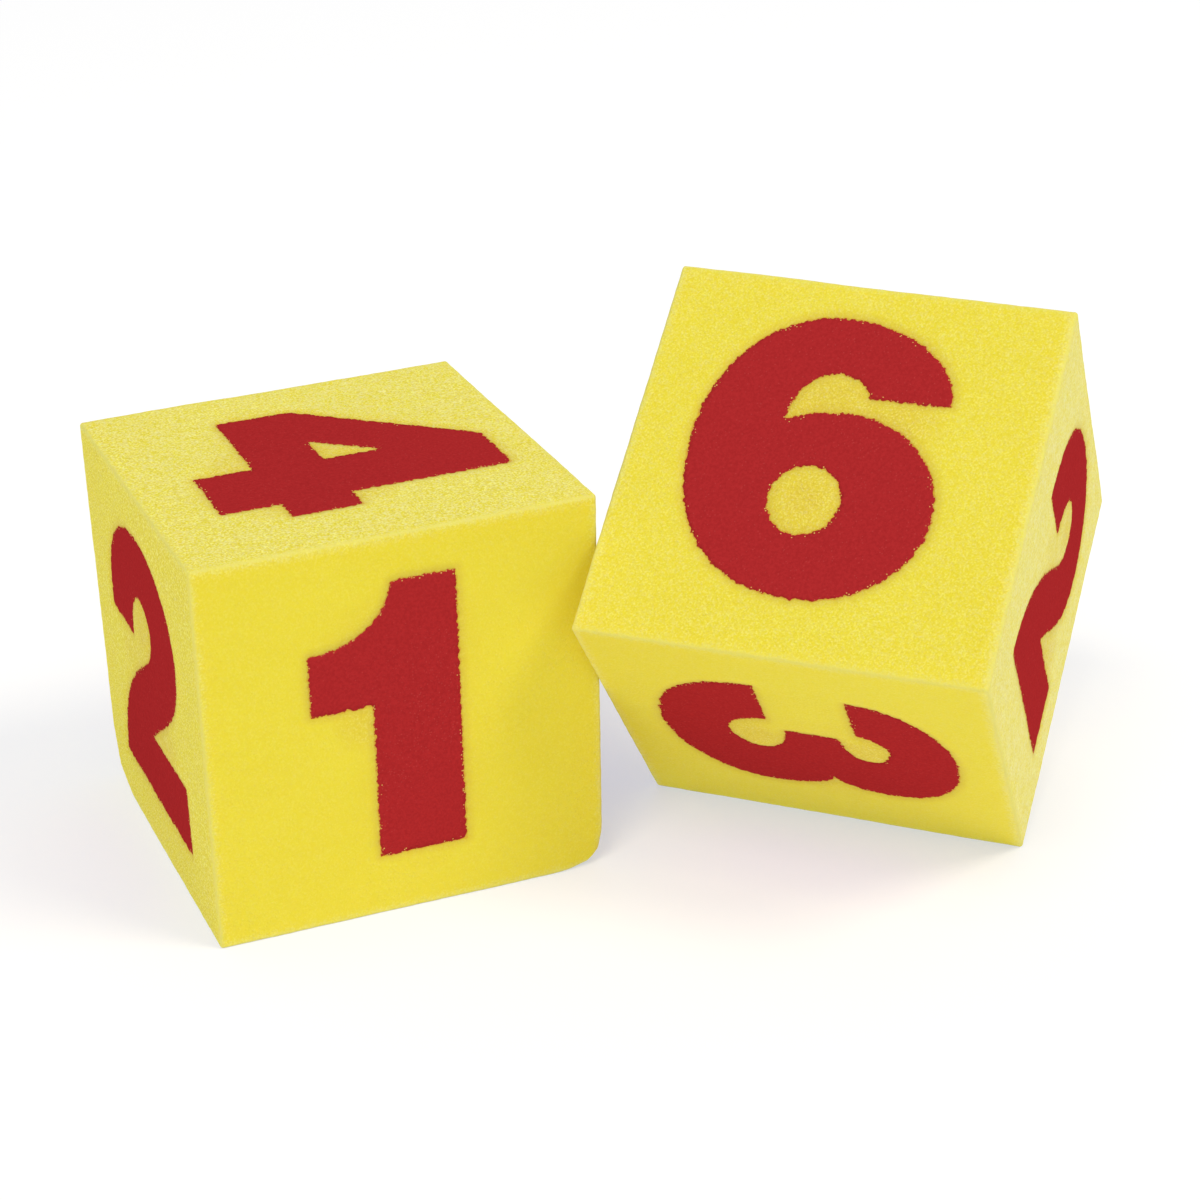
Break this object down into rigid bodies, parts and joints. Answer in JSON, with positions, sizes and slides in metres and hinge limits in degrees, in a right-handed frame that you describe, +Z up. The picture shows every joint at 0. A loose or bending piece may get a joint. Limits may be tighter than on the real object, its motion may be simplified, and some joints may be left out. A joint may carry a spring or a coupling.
{
  "type": "foam dice pair",
  "caption": "Pair of giant soft foam cube dice with bold inset numerals, one standing flat and one tipped up on an edge against it.",
  "frame": {"origin": "middle of the underside of the pair's bounding box in the rest pose, on the floor", "axes": "+Z up; the left die's faces lie along the axes, its 1 face looks along -Y and its 5 face along +X"},
  "size_m": [0.387, 0.2796, 0.2126],
  "materials": {
    "foam": "open-cell polyurethane foam, yellow, fine grain",
    "flock_numeral": "matte red flocked layer"
  },
  "bodies": {
    "left_die": {"left_foam_block": "foam", "left_numeral_1": "flock_numeral", "left_numeral_2": "flock_numeral", "left_numeral_3": "flock_numeral", "left_numeral_4": "flock_numeral", "left_numeral_5": "flock_numeral", "left_numeral_6": "flock_numeral"},
    "right_die": {"right_foam_block": "foam", "right_numeral_1": "flock_numeral", "right_numeral_2": "flock_numeral", "right_numeral_3": "flock_numeral", "right_numeral_4": "flock_numeral", "right_numeral_5": "flock_numeral", "right_numeral_6": "flock_numeral"}
  },
  "joints": [
    {"name": "right_die_roll", "type": "hinge", "parent": "left_die", "child": "right_die", "pos_m": [0.05932, -0.01784, 0.002], "axis": [0.7096, -0.7046, 0], "range_deg": [0, 49.8]}
  ]
}
